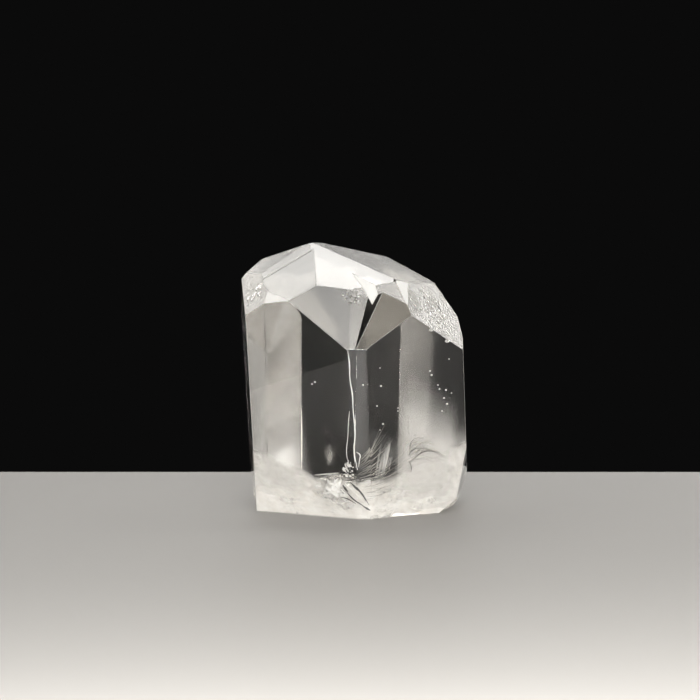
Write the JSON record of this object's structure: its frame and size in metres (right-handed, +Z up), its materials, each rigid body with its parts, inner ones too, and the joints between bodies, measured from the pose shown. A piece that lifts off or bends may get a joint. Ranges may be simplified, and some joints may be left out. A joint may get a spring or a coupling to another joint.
{
  "type": "phenakite crystal",
  "caption": "Clear stout phenakite crystal: hexagonal prism with a faceted, partly etched termination, standing on its broken, shell-fractured base.",
  "frame": {"origin": "under the middle of the crystal's bounding box, on the level that its broken base rests on", "axes": "+Z up along the prism, -Y towards the front edge with the hollowed steep face, +X to the right seen from the front"},
  "size_m": [0.0128, 0.0138, 0.0149],
  "materials": {
    "clear_phenakite": "gloss"
  },
  "bodies": {
    "root": {"crystal": "clear_phenakite"}
  },
  "joints": []
}
